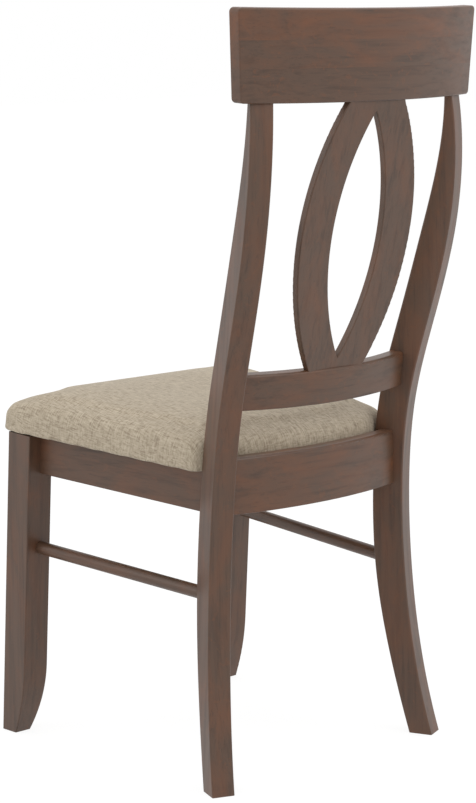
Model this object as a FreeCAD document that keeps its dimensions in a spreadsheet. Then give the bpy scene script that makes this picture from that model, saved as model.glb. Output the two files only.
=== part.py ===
import FreeCAD, Part
import Sketcher
import math
import os

# A wheelback dining chair, in millimetres. The origin is on the floor under the middle of the
# chair's outer box, +Z is up and the sitter faces -Y, so the sitter's left hand is on the +X side.
# "Left" and "right" below are the sitter's.

Vector = FreeCAD.Vector
Placement = FreeCAD.Placement
Rotation = FreeCAD.Rotation

# Driving sizes
SIZES = {
    # seat frame: everything between the front legs and the rear posts is square to a plane
    # that slopes down to the back, and whose front edge has this height and place
    "seat_frame_height": 431.0,
    "seat_frame_front": -238.6,
    "seat_slope": 3.0,
    # front legs
    "leg_spread": 434.4,
    "leg_width": 41.7,
    "leg_depth": 44.9,
    "leg_foot_width": 26.0,
    "leg_foot_depth": 29.0,
    "leg_sabre_height": 100.0,
    "leg_edge_round": 1.5,
    # rear posts: a template of setbacks and depths up the post, measured in the plane that the
    # post is sawn in; setback counts towards the back from the heel
    "post_spread": 415.0,
    "post_heel_back": 180.4,
    "post_cant": 22.0,
    "post_lean": 2.53,
    "post_width": 31.5,
    "post_edge_round": 2.0,
    "shin_height": 110.0,
    "knee_height": 240.0,
    "hip_height": 380.0,
    "loin_height": 480.0,
    "back_height": 600.0,
    "shoulder_height": 720.0,
    "neck_height": 820.0,
    "post_floor_trim": 6.0,
    "post_head_trim": 10.0,
    "heel_setback": 1.5,
    "shin_setback": -24.5,
    "knee_setback": -39.5,
    "hip_setback": -42.0,
    "loin_setback": -32.5,
    "back_setback": -2.5,
    "shoulder_setback": 26.0,
    "neck_setback": 35.0,
    "head_setback": 29.0,
    "heel_depth": 33.5,
    "shin_depth": 37.2,
    "knee_depth": 43.5,
    "hip_depth": 43.2,
    "loin_depth": 43.5,
    "back_depth": 43.0,
    "shoulder_depth": 38.5,
    "neck_depth": 23.5,
    "head_depth": 9.5,
    # crest rail
    "crest_height": 117.6,
    "crest_thickness": 18.0,
    "crest_radius": 637.0,
    "crest_base_height": 894.5,
    "crest_back": 255.3,
    "crest_tilt": 2.9,
    "crest_top_chord": 442.8,
    "crest_bottom_chord": 427.8,
    "crest_corner_round": 6.0,
    "crest_edge_round": 2.5,
    "crest_dowel_pitch": 15.0,
    # lower back rail
    "back_rail_height": 47.2,
    "back_rail_thickness": 20.0,
    "back_rail_radius": 520.0,
    "back_rail_top": 542.7,
    "back_rail_back": 182.5,
    "back_rail_tilt": 6.4,
    "back_rail_edge_round": 4.0,
    "back_rail_dowel_drop": 11.0,
    # splat of two bows
    "bow_thickness": 10.0,
    "bow_outer_radius": 342.0,
    "bow_outer_reach": 103.0,
    "bow_inner_radius": 320.0,
    "bow_inner_reach": 46.6,
    "bow_inset_at_crest": 4.0,
    "bow_inset_at_rail": 3.0,
    "bow_end_allowance": 6.0,
    "bow_dowel_reach": 24.0,
    "bow_edge_round": 1.5,
    # seat rails
    "seat_rail_height": 54.8,
    "seat_rail_thickness": 20.0,
    "side_rail_inset": 21.0,
    "side_rail_splay": 6.2,
    "rail_edge_round": 1.5,
    "rear_rail_height": 75.4,
    "rear_rail_thickness": 22.0,
    "rear_rail_radius": 610.0,
    "rear_rail_top": 435.0,
    "rear_rail_back": 161.9,
    "rear_rail_edge_round": 4.0,
    "rear_rail_dowel_drop": 19.0,
    # corner blocks
    "block_leg": 58.0,
    "block_height": 34.0,
    "block_drop": 3.0,
    "block_scribe": 5.0,
    "block_screw_offset": 34.0,
    "block_screw_bite": 14.0,
    # stretchers
    "stretcher_diameter": 18.0,
    "stretcher_drop": 161.0,
    "stretcher_front_spread": 384.0,
    "stretcher_splay": 4.3,
    "stretcher_tenon_diameter": 12.0,
    "stretcher_tenon_length": 16.0,
    # seat
    "seat_front_overhang": 4.0,
    "seat_side_overhang": 4.5,
    "seat_splay": 6.5,
    "seat_front_corner_round": 28.0,
    "seat_rear_corner_round": 9.0,
    "seat_crown": 61.0,
    "seat_side_height": 27.0,
    "seat_shoulder_draw": 0.5,
    "seat_side_draw": 4.5,
    "seat_crown_reach": 150.0,
    "seat_crown_fullness": 2.5,
    "seat_round_growth": 0.45,
    "board_thickness": 12.0,
    "fabric_thickness": 1.5,
    "fabric_wrap": 40.0,
    "dust_cover_thickness": 0.8,
    "soft_gap": 0.3,
    "seat_gap": 2.5,
    # dowels and screws
    "dowel_diameter": 8.0,
    "dowel_depth": 16.0,
    "slim_dowel_diameter": 6.0,
    "slim_dowel_depth": 14.0,
    "fit_clearance": 0.1,
    "hole_end_gap": 1.0,
    "rail_dowel_drop": 10.0,
    "rail_dowel_pitch": 26.0,
    "side_rail_dowel_edge": 6.0,
    "screw_diameter": 4.0,
    "screw_head_diameter": 8.0,
    "screw_head_height": 3.0,
    "seat_screw_length": 47.0,
    "block_screw_length": 32.0,
}

doc = FreeCAD.newDocument("wheelback_chair")
sheet = doc.addObject("Spreadsheet::Sheet", "Sizes")
sheet_rows = []


def keep(name, value):
    """Write a number in its own named cell and give back the formula that reads it."""
    sheet_rows.append(name)
    cell = "B%d" % len(sheet_rows)
    sheet.set("A%d" % len(sheet_rows), name)
    sheet.set(cell, repr(float(value)))
    sheet.setAlias(cell, name)
    return "Sizes." + name


for size_name, size_value in SIZES.items():
    keep(size_name, size_value)
doc.recompute([sheet])


def size(name):
    return float(sheet.get(name))


# Frames
# The seat frame is square to the sloping seat: x across, y to the back, z up from the rails' top.
SEAT = Placement(
    Vector(0, size("seat_frame_front"), size("seat_frame_height")),
    Rotation(Vector(1, 0, 0), -size("seat_slope")),
)
SIDES = (("left", 1), ("right", -1))


def post_frame(side):
    """The plane a rear post is sawn in: x across the post, y to the back, z up the post."""
    heel = Vector(side * size("post_spread") / 2, size("post_heel_back"), 0)
    cant = Rotation(Vector(0, 0, 1), -side * size("post_cant"))
    lean = Rotation(Vector(0, 1, 0), -side * size("post_lean"))
    return Placement(heel, cant.multiply(lean))


def tilted_frame(back, height, tilt):
    """A frame across the back of the chair, leaning back by a tilt, at the middle of a rail."""
    return Placement(Vector(0, back, height), Rotation(Vector(1, 0, 0), -tilt))


# How near, in millimetres, an edge lies to the face that it is looked for on
NEAR = 1.0
# Where a curved rail's side part starts and ends, in degrees round its bend from the +X axis
LEFT_PART = (45, 90)
RIGHT_PART = (90, 135)


# Drawing
def new_body(name, frame):
    body = doc.addObject("PartDesign::Body", name)
    body.Placement = frame
    return body


def new_sketch(body, name, role, height=None):
    sketch = body.newObject("Sketcher::SketchObject", name)
    plane = [o for o in body.Origin.OriginFeatures if o.Role == role][0]
    sketch.AttachmentSupport = [(plane, "")]
    sketch.MapMode = "FlatFace"
    if height:
        sketch.setExpression("AttachmentOffset.Base.z", height)
    return sketch


def end_at(sketch, edge, point):
    """Which end of a sketch edge lies at a point: 1 for its start, 2 for its end."""
    start = sketch.getPoint(edge, 1)
    finish = sketch.getPoint(edge, 2)
    return 1 if start.distanceToPoint(point) < finish.distanceToPoint(point) else 2


def draw_outline(sketch, corners, bulges=None):
    """Draw a closed outline through its corners and tie each corner to two cells of its own.
    bulges gives, for the edges that are arcs, a point on the arc after that corner."""
    bulges = bulges or {}
    points = [Vector(x, y, 0) for x, y in corners]
    edges = []
    for i, start in enumerate(points):
        finish = points[(i + 1) % len(points)]
        if i in bulges:
            edge = Part.Arc(start, Vector(bulges[i][0], bulges[i][1], 0), finish)
        else:
            edge = Part.LineSegment(start, finish)
        edges.append(sketch.addGeometry(edge))
    for i, point in enumerate(points):
        before = edges[i - 1]
        after = edges[i]
        end_before = end_at(sketch, before, point)
        end_after = end_at(sketch, after, point)
        sketch.addConstraint(
            Sketcher.Constraint("Coincident", before, end_before, after, end_after)
        )
        for kind, value, letter in (("DistanceX", point.x, "x"), ("DistanceY", point.y, "y")):
            index = sketch.addConstraint(
                Sketcher.Constraint(kind, -1, 1, after, end_after, value)
            )
            cell = keep("%s_%s_%d" % (sketch.Name, letter, i + 1), value)
            sketch.setExpression("Constraints[%d]" % index, cell)
    for i in bulges:
        radius = sketch.Geometry[edges[i]].Radius
        index = sketch.addConstraint(Sketcher.Constraint("Radius", edges[i], radius))
        cell = keep("%s_radius_%d" % (sketch.Name, i + 1), radius)
        sketch.setExpression("Constraints[%d]" % index, cell)


def pad(body, sketch, length, both_ways=False, reverse=False):
    feature = body.newObject("PartDesign::Pad", sketch.Name + "_pad")
    feature.Profile = sketch
    feature.SideType = "Symmetric" if both_ways else "One side"
    feature.Reversed = reverse
    feature.setExpression("Length", length)
    doc.recompute([body])
    return feature


def pocket(body, sketch, length):
    """Cut a sketch's area away on both sides of its plane."""
    before = body.Shape.Volume
    feature = body.newObject("PartDesign::Pocket", sketch.Name + "_pocket")
    feature.Profile = sketch
    feature.SideType = "Symmetric"
    feature.setExpression("Length", length)
    doc.recompute([body])
    if body.Shape.Volume >= before:
        raise ValueError("the pocket of %s cuts nothing" % sketch.Name)
    return feature


def round_edges(body, base, wanted, radius):
    """Round the edges of a body's last feature that a test picks out."""
    names = ["Edge%d" % (i + 1) for i, edge in enumerate(base.Shape.Edges) if wanted(edge)]
    feature = body.newObject("PartDesign::Fillet", base.Name + "_round")
    feature.Base = (base, names)
    feature.setExpression("Radius", radius)
    doc.recompute([body])
    return feature


def fused(name, shapes):
    if len(shapes) == 1:
        return shapes[0]
    result = doc.addObject("Part::MultiFuse", name)
    result.Shapes = shapes
    return result


def cut(name, base, tools):
    """A piece: its blank, less everything that is let into it or that it is fitted to."""
    result = doc.addObject("Part::Cut", name)
    result.Base = base
    result.Tool = fused(name + "_waste", tools)
    return result


def group(name, solids):
    """Fasteners of one kind share a piece list entry as separate solids."""
    result = doc.addObject("Part::Compound", name)
    result.Links = solids
    return result


def box_at(name, corner, lengths):
    block = doc.addObject("Part::Box", name)
    block.Length, block.Width, block.Height = lengths
    block.Placement = Placement(corner, Rotation())
    return block


def along(direction):
    return Rotation(Vector(0, 0, 1), direction)


def rod(name, start, direction, radius, length):
    """A round rod from a start, whose radius and length are formulas of the sheet's cells."""
    piece = doc.addObject("Part::Cylinder", name)
    piece.setExpression("Radius", radius)
    piece.setExpression("Height", length)
    piece.Placement = Placement(start, along(direction))
    return piece


# Fasteners
holes = {}


def bore_for(piece, hole):
    holes.setdefault(piece, []).append(hole)


def dowel(name, middle, direction, pieces, slim=False):
    """A dowel pin centred on a joint, and its bore, a clearance wider and a gap longer, in both pieces."""
    kind = "slim_dowel" if slim else "dowel"
    direction = Vector(direction).normalize()
    depth = size(kind + "_depth")
    pin = rod(
        name,
        middle - direction * depth,
        direction,
        "Sizes.%s_diameter / 2" % kind,
        "Sizes.%s_depth * 2" % kind,
    )
    bore = rod(
        name + "_bore",
        middle - direction * (depth + size("hole_end_gap")),
        direction,
        "Sizes.%s_diameter / 2 + Sizes.fit_clearance" % kind,
        "(Sizes.%s_depth + Sizes.hole_end_gap) * 2" % kind,
    )
    for piece in pieces:
        bore_for(piece, bore)
    return pin


def screw(name, head, direction, length_name, pieces, sink):
    """A countersunk screw from its head's flat face, and its hole, opened up behind the head."""
    direction = Vector(direction).normalize()
    turn = along(direction)
    length = size(length_name)
    head_height = size("screw_head_height")
    tip_length = size("screw_diameter")
    shank_radius = "Sizes.screw_diameter / 2"
    cap = doc.addObject("Part::Cone", name + "_head")
    cap.setExpression("Radius1", "Sizes.screw_head_diameter / 2")
    cap.setExpression("Radius2", shank_radius)
    cap.setExpression("Height", "Sizes.screw_head_height")
    cap.Placement = Placement(head, turn)
    shank = rod(
        name + "_shank",
        head + direction * head_height,
        direction,
        shank_radius,
        "Sizes.%s - Sizes.screw_head_height - Sizes.screw_diameter" % length_name,
    )
    tip = doc.addObject("Part::Cone", name + "_tip")
    tip.setExpression("Radius1", shank_radius)
    tip.Radius2 = 0
    tip.setExpression("Height", "Sizes.screw_diameter")
    tip.Placement = Placement(head + direction * (length - tip_length), turn)
    hole = rod(
        name + "_hole",
        head,
        direction,
        shank_radius + " + Sizes.fit_clearance",
        "Sizes.%s + Sizes.hole_end_gap" % length_name,
    )
    sink_radius = "Sizes.screw_head_diameter / 2 + Sizes.fit_clearance"
    sink_bore = rod(
        name + "_sink",
        head - direction * sink,
        direction,
        sink_radius,
        "%s + Sizes.screw_head_height" % keep(name + "_sink_depth", sink),
    )
    for piece in pieces:
        bore_for(piece, hole)
    bore_for(pieces[0], sink_bore)
    return fused(name, [cap, shank, tip])


# Rear posts
POST_STATIONS = ("heel", "shin", "knee", "hip", "loin", "back", "shoulder", "neck", "head")


def flowing_line(points):
    """One smooth curve through the points that a template's edge passes."""
    curve = Part.BSplineCurve()
    curve.interpolate(Points=[Vector(x, y, 0) for x, y in points])
    return curve


def make_post_blank(name, side):
    """A post bandsawn to its template from a plank: a flowing back edge and front edge."""
    body = new_body(name + "_blank", post_frame(side))
    template = new_sketch(body, name + "_template", "YZ_Plane")
    back = [(size(s + "_setback"), size(s + "_height")) for s in POST_STATIONS]
    front = [(y - size(s + "_depth"), z) for (y, z), s in zip(back, POST_STATIONS)]
    outline = [
        flowing_line(back),
        Part.LineSegment(Vector(*back[-1], 0), Vector(*front[-1], 0)),
        flowing_line(list(reversed(front))),
        Part.LineSegment(Vector(*front[0], 0), Vector(*back[0], 0)),
    ]
    template.addGeometry(outline)
    for i in range(4):
        template.addConstraint(Sketcher.Constraint("Coincident", i, 2, (i + 1) % 4, 1))
    plank = pad(body, template, "Sizes.post_width", both_ways=True)
    long_edge = size("head_height") / 2
    round_edges(body, plank, lambda edge: edge.Length > long_edge, "Sizes.post_edge_round")
    return body


keep("heel_height", -size("post_floor_trim"))
keep("head_height", size("crest_base_height") + size("post_head_trim"))
doc.recompute([sheet])
post_blank = {}
for side_name, side in SIDES:
    post_blank[side_name] = make_post_blank("rear_post_" + side_name, side)
floor_trim = box_at(
    "floor_trim",
    Vector(-size("leg_spread"), -size("leg_spread"), -size("leg_spread")),
    (2 * size("leg_spread"), 2 * size("leg_spread"), size("leg_spread")),
)


def hits(path, start, solid):
    """The points where a path enters and leaves a solid, the nearest to its start first."""
    points = [vertex.Point for vertex in path.common(solid).Vertexes]
    return sorted(points, key=lambda point: point.distanceToPoint(start))


def straight_hits(start, direction, solid):
    path = Part.makeLine(start, start + direction * size("leg_spread"))
    return hits(path, start, solid)


# Curved rails
CREST = tilted_frame(size("crest_back"), size("crest_base_height"), size("crest_tilt"))
BACK_RAIL = tilted_frame(size("back_rail_back"), size("back_rail_top"), size("back_rail_tilt"))
REAR_RAIL = tilted_frame(size("rear_rail_back"), size("rear_rail_top"), 0)


def rail_in_post(frame, prefix, drop, side_name, side):
    """The two points where a curved rail's middle line, at a depth below its top, crosses a post."""
    radius = size(prefix + "_radius")
    centre = Vector(0, -radius, -drop)
    first, last = LEFT_PART if side > 0 else RIGHT_PART
    path = Part.makeCircle(
        radius - size(prefix + "_thickness") / 2, centre, Vector(0, 0, 1), first, last
    )
    path.Placement = frame
    start = frame.multVec(Vector(0, 0, -drop))
    return hits(path, start, post_blank[side_name].Shape)


def turn_at(frame, prefix, point):
    """How far round a rail's bend, from its middle, a point lies."""
    local = frame.inverse().multVec(point)
    return math.atan2(local.x, local.y + size(prefix + "_radius"))


def make_curved_board(name, frame, prefix, half_turn, downwards):
    """A board bent to a radius, whose back face passes through the frame's origin."""
    body = new_body(name + "_blank", frame)
    plan = new_sketch(body, name + "_plan", "XY_Plane")
    back = size(prefix + "_radius")
    front = back - size(prefix + "_thickness")
    across = math.sin(half_turn)
    forwards = math.cos(half_turn)
    corners = (
        (back * across, back * forwards - back),
        (-back * across, back * forwards - back),
        (-front * across, front * forwards - back),
        (front * across, front * forwards - back),
    )
    draw_outline(plan, corners, {0: (0, 0), 2: (0, front - back)})
    board = pad(body, plan, "Sizes.%s_height" % prefix, reverse=downwards)
    return body, board


def make_rail_between_posts(name, frame, prefix):
    """A bent rail whose blank runs to the middle of each post, with its edges rounded."""
    entry, leave = rail_in_post(frame, prefix, size(prefix + "_height") / 2, "left", 1)
    half_turn = turn_at(frame, prefix, (entry + leave) / 2)
    body, board = make_curved_board(name, frame, prefix, half_turn, True)
    long_edge = size(prefix + "_height") * 2

    def at_top(edge):
        return edge.Length > long_edge and edge.CenterOfMass.z > -NEAR

    def at_bottom(edge):
        return edge.Length > long_edge and edge.CenterOfMass.z < NEAR - size(prefix + "_height")

    rounded = round_edges(body, board, at_top, "Sizes.%s_edge_round" % prefix)
    round_edges(body, rounded, at_bottom, "Sizes.rail_edge_round")
    return body


def rounded_corner(corner, back, ahead, radius):
    """The ends and the middle of the arc that rounds a corner between two straight edges."""
    half = back.getAngle(ahead) / 2
    run = radius / math.tan(half)
    bisector = (back + ahead).normalize()
    middle = corner + bisector * (radius / math.sin(half) - radius)
    return corner + back * run, middle, corner + ahead * run


def make_crest_blank():
    """A bent board with both ends sawn to a slant with rounded corners."""
    half_top = size("crest_top_chord") / 2
    half_bottom = size("crest_bottom_chord") / 2
    height = size("crest_height")
    radius = size("crest_corner_round")
    spare = size("crest_thickness")
    half_turn = math.asin((half_top + spare / 2) / (size("crest_radius") - size("crest_thickness")))
    body, board = make_curved_board("crest_rail", CREST, "crest", half_turn, False)
    for side_name, side in SIDES:
        top = Vector(side * half_top, height, 0)
        bottom = Vector(side * half_bottom, 0, 0)
        slant = (top - bottom).normalize()
        inwards = Vector(-side, 0, 0)
        low = rounded_corner(bottom, inwards, slant, radius)
        high = rounded_corner(top, slant * -1, inwards, radius)
        outside = side * (half_top + spare)
        outline = [low[0], low[2], high[0], high[2]]
        corners = [(point.x, point.y) for point in outline]
        corners += [(high[2].x, height + spare), (outside, height + spare)]
        corners += [(outside, -spare), (low[0].x, -spare)]
        waste = new_sketch(body, "crest_end_" + side_name, "XZ_Plane")
        draw_outline(waste, corners, {0: (low[1].x, low[1].y), 2: (high[1].x, high[1].y)})
        board = pocket(body, waste, "Sizes.crest_radius")

    def on_a_face(edge):
        ends = [vertex.Y for vertex in edge.Vertexes]
        return abs(ends[0] - ends[-1]) < size("crest_thickness") / 2

    round_edges(body, board, on_a_face, "Sizes.crest_edge_round")
    return body


crest_blank = make_crest_blank()
back_rail_blank = make_rail_between_posts("lower_back_rail", BACK_RAIL, "back_rail")
rear_rail_blank = make_rail_between_posts("rear_seat_rail", REAR_RAIL, "rear_rail")


# Front legs
def floor_level(back):
    """The floor's height in the seat frame, at a distance back from the frame's front."""
    slope = math.radians(size("seat_slope"))
    return (back * math.sin(slope) - size("seat_frame_height")) / math.cos(slope)


def sabre_middle(straight, knee, foot, foot_level):
    """The middle of an arc that leaves a straight face at the knee and ends at the foot's face."""
    reach = abs(straight - foot)
    drop = knee - foot_level
    radius = (drop**2 + reach**2) / (2 * reach)
    half = math.asin(drop / radius) / 2
    inwards = math.copysign(radius * (1 - math.cos(half)), foot - straight)
    return straight + inwards, knee - radius * math.sin(half)


def make_front_leg_blank(name, side):
    body = new_body(name + "_blank", SEAT)
    centre = "%d * (Sizes.leg_spread - Sizes.leg_width) / 2" % side
    profile = new_sketch(body, name + "_profile", "YZ_Plane", centre)
    depth = size("leg_depth")
    foot = size("leg_foot_depth")
    toe = floor_level(0)
    knee = toe + size("leg_sabre_height")
    corners = ((0, 0), (0, toe), (foot, floor_level(foot)), (depth, knee), (depth, 0))
    draw_outline(profile, corners, {2: sabre_middle(depth, knee, foot, floor_level(foot))})
    pad(body, profile, "Sizes.leg_width", both_ways=True)

    inner = side * (size("leg_spread") / 2 - size("leg_width"))
    foot_inner = side * (size("leg_spread") / 2 - size("leg_foot_width"))
    beyond = inner - side * size("leg_edge_round")
    waste = new_sketch(body, name + "_taper", "XZ_Plane")
    corners = ((inner, knee), (foot_inner, toe), (beyond, toe), (beyond, knee))
    draw_outline(waste, corners, {0: sabre_middle(inner, knee, foot_inner, toe)})
    tapered = pocket(body, waste, "Sizes.leg_spread")
    long_edge = size("leg_sabre_height") - size("leg_edge_round") * 2
    round_edges(body, tapered, lambda edge: edge.Length > long_edge, "Sizes.leg_edge_round")
    return body


leg_blank = {}
for side_name, side in SIDES:
    leg_blank[side_name] = make_front_leg_blank("front_leg_" + side_name, side)


# Seat rails
def make_plank(name, corners, height, top=None):
    """A plank of the seat frame: a plan drawn in the seat frame, as thick as a height below it."""
    body = new_body(name + "_blank", SEAT)
    plan = new_sketch(body, name + "_plan", "XY_Plane", top)
    draw_outline(plan, corners)
    plank = pad(body, plan, height, reverse=True)
    return body, plank


SPLAY = math.radians(size("side_rail_splay"))
ALONG_RAIL = {1: Vector(-math.sin(SPLAY), math.cos(SPLAY), 0)}
ALONG_RAIL[-1] = Vector(math.sin(SPLAY), math.cos(SPLAY), 0)


def side_rail_point(side, inwards, back):
    """A point on a side rail's plan, inwards from its outer face and behind the front leg."""
    outer = size("leg_spread") / 2 - size("side_rail_inset")
    start = outer - inwards / math.cos(SPLAY)
    return Vector(side * (start - back * math.tan(SPLAY)), size("leg_depth") + back, 0)


def make_side_rail_blank(name, side):
    """A straight rail from the front leg's back face to the middle of the rear post."""
    thickness = size("seat_rail_thickness")
    middle = side_rail_point(side, thickness / 2, 0)
    start = SEAT.multVec(middle + Vector(0, 0, -size("seat_rail_height") / 2))
    direction = SEAT.Rotation.multVec(ALONG_RAIL[side])
    side_name = "left" if side > 0 else "right"
    entry = straight_hits(start, direction, post_blank[side_name].Shape)[0]
    joint = SEAT.inverse().multVec(entry).y - size("leg_depth")
    far = joint + size("post_width") / 2
    points = (
        side_rail_point(side, 0, 0),
        side_rail_point(side, 0, far),
        side_rail_point(side, thickness, far),
        side_rail_point(side, thickness, 0),
    )
    corners = [(point.x, point.y) for point in points]
    body, plank = make_plank(name, corners, "Sizes.seat_rail_height")
    long_edge = size("leg_spread") / 2

    def at_bottom(edge):
        return edge.Length > long_edge and edge.CenterOfMass.z < NEAR - size("seat_rail_height")

    round_edges(body, plank, at_bottom, "Sizes.rail_edge_round")
    return body


side_rail_blank = {}
for side_name, side in SIDES:
    side_rail_blank[side_name] = make_side_rail_blank("side_rail_" + side_name, side)

half_front_rail = size("leg_spread") / 2 - size("leg_width")
front_rail_front = size("leg_depth") - size("seat_rail_thickness")
front_rail_corners = (
    (half_front_rail, front_rail_front),
    (half_front_rail, size("leg_depth")),
    (-half_front_rail, size("leg_depth")),
    (-half_front_rail, front_rail_front),
)
front_rail_blank = make_plank("front_rail", front_rail_corners, "Sizes.seat_rail_height")[0]


# Splat: two bows cut from a flat board that leans between the lower back rail and the crest
crest_foot = Vector(0, size("crest_back") - size("bow_inset_at_crest"), size("crest_base_height"))
rail_head = Vector(0, size("back_rail_back") - size("bow_inset_at_rail"), size("back_rail_top"))
bow_line = crest_foot - rail_head
BOWS = Placement(rail_head, Rotation(Vector(0, 0, 1), bow_line))


def make_bow_blank(name, side):
    """Half of the splat: an outer and an inner arc, with the inner arcs' tips on the seam."""
    body = new_body(name + "_blank", BOWS)
    outline = new_sketch(body, name + "_outline", "XZ_Plane")
    length = bow_line.Length
    middle = length / 2
    spare = size("bow_end_allowance")
    outer = size("bow_outer_radius")
    inner = size("bow_inner_radius")
    outer_centre = size("bow_outer_reach") - outer
    inner_centre = size("bow_inner_reach") - inner
    half_outer = middle + spare
    end_width = outer_centre + math.sqrt(outer**2 - half_outer**2)
    tip = math.sqrt(inner**2 - inner_centre**2)
    corners = [
        (end_width, -spare),
        (end_width, length + spare),
        (0, length + spare),
        (0, middle + tip),
        (0, middle - tip),
        (0, -spare),
    ]
    corners = [(side * x, z) for x, z in corners]
    bulges = {
        0: (side * size("bow_outer_reach"), middle),
        3: (side * size("bow_inner_reach"), middle),
    }
    draw_outline(outline, corners, bulges)
    board = pad(body, outline, "Sizes.bow_thickness")
    long_edge = size("bow_outer_radius") / 2

    def along_a_bow(edge):
        return edge.Length > long_edge

    round_edges(body, board, along_a_bow, "Sizes.bow_edge_round")
    return body


bow_blank = {}
for side_name, side in SIDES:
    bow_blank[side_name] = make_bow_blank("splat_bow_" + side_name, side)


# Corner blocks
BLOCK_LEVEL = -size("block_drop") - size("block_height") / 2


def seat_hits(start, direction, solid):
    """Like straight_hits, with the start, the direction and the points in the seat frame."""
    points = straight_hits(SEAT.multVec(start), SEAT.Rotation.multVec(direction), solid)
    return [SEAT.inverse().multVec(point) for point in points]


def make_block(name, corner, along_side, along_cross, spare):
    """A three-cornered block, sawn a little full where its two sides are scribed to the rails."""
    leg = size("block_leg")
    points = (
        corner - (along_side + along_cross) * spare,
        corner + along_side * leg - along_cross * spare,
        corner + along_cross * leg - along_side * spare,
    )
    corners = [(point.x, point.y) for point in points]
    return make_plank(name, corners, "Sizes.block_height", "-Sizes.block_drop")[0]


blocks = {}
for side_name, side in SIDES:
    inner_face = size("seat_rail_thickness")
    level = Vector(0, 0, BLOCK_LEVEL)
    rail_run = ALONG_RAIL[side]
    front_corner = side_rail_point(side, inner_face, 0) + level
    blocks["corner_block_front_" + side_name] = {
        "side": side,
        "corner": front_corner,
        "along_side": rail_run,
        "along_cross": Vector(-side, 0, 0),
        "spare": 0,
        "rail": "front_rail",
        "rail_shape": front_rail_blank.Shape,
    }
    start = side_rail_point(side, inner_face, 0) + level
    rear_corner = seat_hits(start, rail_run, rear_rail_blank.Shape)[0]
    inboard = Vector(rear_corner.x - side * size("block_leg"), start.y, BLOCK_LEVEL)
    cross_end = seat_hits(inboard, Vector(0, 1, 0), rear_rail_blank.Shape)[0]
    blocks["corner_block_rear_" + side_name] = {
        "side": side,
        "corner": rear_corner,
        "along_side": rail_run * -1,
        "along_cross": (cross_end - rear_corner).normalize(),
        "spare": size("block_scribe"),
        "rail": "rear_seat_rail",
        "rail_shape": rear_rail_blank.Shape,
    }
for name, block in blocks.items():
    block["blank"] = make_block(
        name, block["corner"], block["along_side"], block["along_cross"], block["spare"]
    )


# Stretchers
def make_stretcher(side_name, side):
    """A round stretcher, scribed to the leg and the post, with a round tenon at each end."""
    name = "stretcher_" + side_name
    slant = math.radians(size("stretcher_splay"))
    direction = SEAT.Rotation.multVec(Vector(-side * math.sin(slant), math.cos(slant), 0))
    joint = Vector(
        side * size("stretcher_front_spread") / 2, size("leg_depth"), -size("stretcher_drop")
    )
    front = SEAT.multVec(joint)
    rear = straight_hits(front, direction, post_blank[side_name].Shape)[0]
    spare = size("stretcher_diameter") / 2
    run = keep(name + "_run", front.distanceToPoint(rear))
    shaft = rod(
        name + "_shaft",
        front - direction * spare,
        direction,
        "Sizes.stretcher_diameter / 2",
        run + " + Sizes.stretcher_diameter",
    )
    scribed = cut(name + "_scribed", shaft, [leg_blank[side_name], post_blank[side_name]])
    parts = [scribed]
    for end, place, outwards in (("front", front, direction * -1), ("rear", rear, direction)):
        shoulder = place - outwards * spare
        tenon = rod(
            "%s_%s_tenon" % (name, end),
            shoulder,
            outwards,
            "Sizes.stretcher_tenon_diameter / 2",
            "Sizes.stretcher_tenon_length + Sizes.stretcher_diameter / 2",
        )
        socket = rod(
            "%s_%s_socket" % (name, end),
            shoulder,
            outwards,
            "Sizes.stretcher_tenon_diameter / 2 + Sizes.fit_clearance",
            "Sizes.stretcher_tenon_length + Sizes.stretcher_diameter / 2 + Sizes.hole_end_gap",
        )
        parts.append(tenon)
        piece = "front_leg_" if end == "front" else "rear_post_"
        bore_for(piece + side_name, socket)
    return fused(name, parts)


for side_name, side in SIDES:
    make_stretcher(side_name, side)


# Seat: a board, a crowned foam, a fabric cover wrapped under the board and a dust cover
WIDEST = size("seat_side_height") / 2
hip = Vector(0, size("hip_setback") - size("hip_depth"), size("hip_height"))
post_line = SEAT.inverse().multVec(post_frame(1).multVec(hip)).x
BACKWARDS = Vector(0, 1, 0)
POST_FACE = seat_hits(Vector(post_line, 0, WIDEST), BACKWARDS, post_blank["left"].Shape)[0]
RAIL_FACE = seat_hits(Vector(0, 0, WIDEST), BACKWARDS, rear_rail_blank.Shape)[0]


def seat_corners(inset):
    """The seat's plan, drawn in by an inset all round, with the middles of its arcs."""
    splay = math.radians(size("seat_splay"))
    front = -size("seat_front_overhang")
    half_front = size("leg_spread") / 2 + size("seat_side_overhang") - inset / math.cos(splay)
    side_run = Vector(-math.sin(splay), math.cos(splay), 0)
    front_corner = Vector(half_front - inset * math.tan(splay), front + inset, 0)

    post_depth = SEAT.inverse().Rotation.multVec(post_frame(1).Rotation.multVec(Vector(0, 1, 0)))
    post_depth = Vector(post_depth.x, post_depth.y, 0).normalize()
    post_across = Vector(-post_depth.y, post_depth.x, 0)
    cant_point = POST_FACE - post_depth * (size("seat_gap") + inset)
    reach = (
        post_across.x * (front_corner.y - cant_point.y)
        - post_across.y * (front_corner.x - cant_point.x)
    ) / (post_across.y * side_run.x - post_across.x * side_run.y)
    rear_corner = front_corner + side_run * reach

    rear_radius = size("rear_rail_radius") - size("rear_rail_thickness")
    arc_centre = RAIL_FACE.y - rear_radius
    radius = rear_radius - size("seat_gap") - inset
    offset = Vector(cant_point.x, cant_point.y - arc_centre, 0)
    along_cant = offset.dot(post_across)
    beside_cant = offset.dot(post_depth)
    arc_end = post_across * math.sqrt(radius**2 - beside_cant**2)
    arc_end = arc_end + post_depth * beside_cant + Vector(0, arc_centre, 0)

    rounding = size("seat_round_growth") * inset
    first = rounded_corner(
        front_corner, Vector(-1, 0, 0), side_run, size("seat_front_corner_round") + rounding
    )
    second = rounded_corner(
        rear_corner, side_run * -1, post_across, size("seat_rear_corner_round") + rounding
    )
    return first, second, arc_end, Vector(0, arc_centre + radius, 0)


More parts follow.
